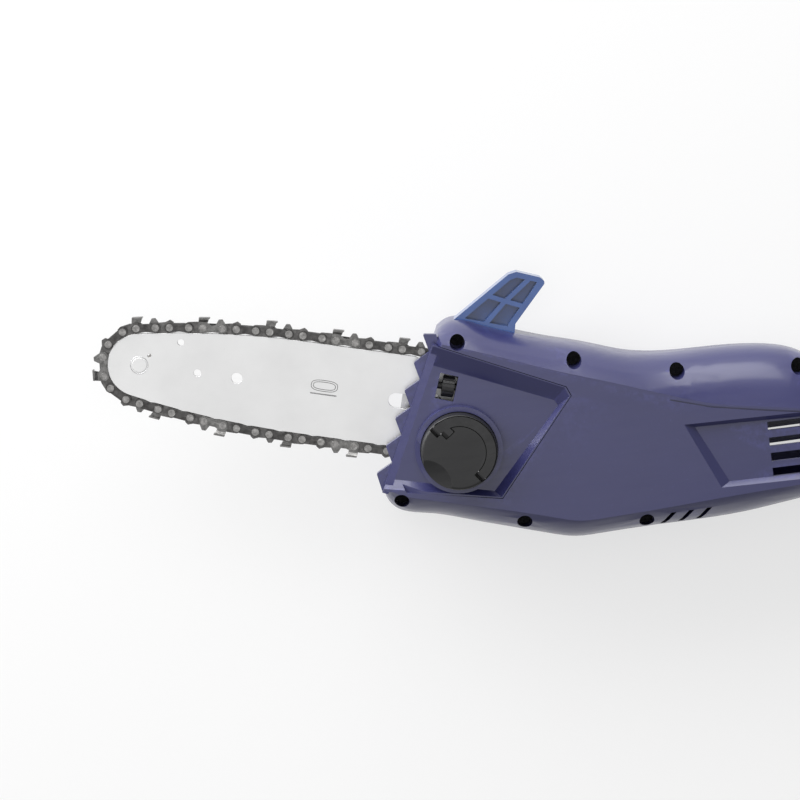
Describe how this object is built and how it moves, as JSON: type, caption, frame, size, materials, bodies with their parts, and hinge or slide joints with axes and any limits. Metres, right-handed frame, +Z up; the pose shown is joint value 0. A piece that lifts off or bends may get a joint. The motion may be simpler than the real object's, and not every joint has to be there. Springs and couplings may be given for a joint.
{
  "type": "telescoping pole saw",
  "caption": "Pole saw lying on its side: short bar and chain on an angled head with a spiked front, knob and ribbed hook, a telescoping pole with a flip clamp, and a looped rear handle.",
  "frame": {"origin": "centre of the bounding box at the floor the tool lies on", "axes": "+X along the pole towards the rear handle, the bar towards -X; +Z up, the cover side; +Y towards the tool's working underside"},
  "size_m": [1.4728, 0.1608, 0.0779],
  "materials": {
    "bar_steel": "ground",
    "black_plastic": "matte",
    "brass": "plain",
    "carbon": "matte",
    "cast_alu": "cast",
    "chain_steel": "oiled",
    "copper": "enamelled wire",
    "cutter_chrome": "worn",
    "gear_steel": "sintered",
    "hook_plastic": "gloss",
    "laminations": "stacked sheet",
    "navy_plastic": "fine texture",
    "red_plastic": "matte",
    "rubber": "soft",
    "steel": "zinc plated",
    "tank_plastic": "translucent",
    "tube_alu": "anodised",
    "tube_dark": "powder coated"
  },
  "bodies": {
    "saw_head": {"housing_right": "navy_plastic", "housing_left": "navy_plastic", "housing_screws": "steel", "branch_hook": "hook_plastic", "sprocket_cover": "navy_plastic", "bar_plate": "steel", "bar_stud": "steel", "bar_nut": "steel", "gearcase": "cast_alu", "shaft_bearings": "steel", "motor_bearings": "steel", "stator": "laminations", "field_coils": "copper", "end_bell": "cast_alu", "carbon_brushes": "carbon", "oil_tank": "tank_plastic", "oil_pump": "black_plastic", "inner_pole": "tube_alu", "pole_stop": "black_plastic"},
    "bar": {"guide_bar": "bar_steel", "tension_nut": "steel", "drive_links": "chain_steel", "tie_straps": "chain_steel", "cutters_left": "cutter_chrome", "cutters_right": "cutter_chrome", "chain_rivets": "chain_steel"},
    "nose": {"nose_sprocket": "gear_steel"},
    "drive": {"drive_sprocket": "gear_steel", "sprocket_shaft": "steel", "sprocket_clip": "steel", "bevel_gear": "gear_steel"},
    "rotor": {"armature": "laminations", "commutator": "copper", "cooling_fan": "black_plastic"},
    "tension_screw": {"tension_wheel": "black_plastic"},
    "knob": {"cover_knob": "black_plastic", "latch_tongue": "steel", "bail_pins": "steel"},
    "bail": {"knob_bail": "black_plastic"},
    "oil_filler": {"oil_cap": "red_plastic"},
    "rear_pole": {"outer_pole": "tube_dark", "guide_bush": "black_plastic", "clamp_collar": "navy_plastic", "clamp_bolt": "steel", "lever_pin": "steel", "foam_grip": "rubber", "strap_ring": "black_plastic", "hand_flange": "rubber", "handle_right": "navy_plastic", "handle_left": "navy_plastic", "handle_screws": "steel", "switch_body": "black_plastic", "power_inlet": "black_plastic", "inlet_blades": "brass", "trigger_spring": "steel", "lock_off_spring": "steel"},
    "lever": {"clamp_lever": "black_plastic"},
    "trigger_body": {"trigger": "black_plastic"},
    "button": {"lock_off_button": "black_plastic"}
  },
  "joints": [
    {"name": "pole_slide", "type": "slide", "parent": "saw_head", "child": "rear_pole", "axis": [1, 0, 0], "range_m": [0, 0.6]},
    {"name": "clamp_lever_turn", "type": "hinge", "parent": "rear_pole", "child": "lever", "pos_m": [-0.19461, -0.0204, 0.049], "axis": [-1, 0, 0], "range_deg": [0, 90]},
    {"name": "trigger_pull", "type": "hinge", "parent": "rear_pole", "child": "trigger_body", "pos_m": [0.58289, -0.0444, 0.032], "axis": [0, 0, 1], "range_deg": [0, 8], "stiffness_Nm_per_rad": 0.9, "springref_deg": -20.05},
    {"name": "lock_off_push", "type": "slide", "parent": "rear_pole", "child": "button", "axis": [0, 1, 0], "range_m": [0, 0.0035], "stiffness_N_per_m": 400, "springref_m": -0.004, "deforming": ["trigger_spring", "lock_off_spring"]},
    {"name": "drive_spin", "type": "hinge", "parent": "saw_head", "child": "drive", "pos_m": [-0.51881, -0.00011, 0.032], "axis": [0, 0, 1], "continuous": true, "deforming": ["drive_links", "tie_straps", "cutters_left", "cutters_right", "chain_rivets"]},
    {"name": "rotor_spin", "type": "hinge", "parent": "saw_head", "child": "rotor", "pos_m": [-0.46104, -0.01634, 0.031], "axis": [0.9627, -0.2706, 0], "continuous": true},
    {"name": "bar_slide", "type": "slide", "parent": "saw_head", "child": "bar", "axis": [-0.9627, 0.2706, 0], "range_m": [-0.004, 0]},
    {"name": "nose_spin", "type": "hinge", "parent": "bar", "child": "nose", "pos_m": [-0.70979, 0.05358, 0.05], "axis": [0, 0, 1], "continuous": true},
    {"name": "tension_turn", "type": "hinge", "parent": "saw_head", "child": "tension_screw", "pos_m": [-0.54052, 0.0194, 0.058], "axis": [-0.9627, 0.2706, 0], "range_deg": [-10, 1450]},
    {"name": "knob_turn", "type": "hinge", "parent": "saw_head", "child": "knob", "pos_m": [-0.53911, -0.0153, 0.065], "axis": [0, 0, 1], "range_deg": [0, 92]},
    {"name": "bail_lift", "type": "hinge", "parent": "knob", "child": "bail", "pos_m": [-0.53911, -0.0153, 0.0759], "axis": [0.6045, -0.7966, 0], "range_deg": [0, 88]},
    {"name": "oil_cap_turn", "type": "hinge", "parent": "saw_head", "child": "oil_filler", "pos_m": [-0.55611, -0.0239, 0.001], "axis": [0, 0, 1], "range_deg": [0, 100]}
  ],
  "couplings": [
    {"joint": "rotor_spin", "follows": "drive_spin", "ratio": 3.4444},
    {"joint": "nose_spin", "follows": "drive_spin", "ratio": 0.85714},
    {"joint": "tension_turn", "follows": "bar_slide", "rad_per_m": -6283.2}
  ]
}
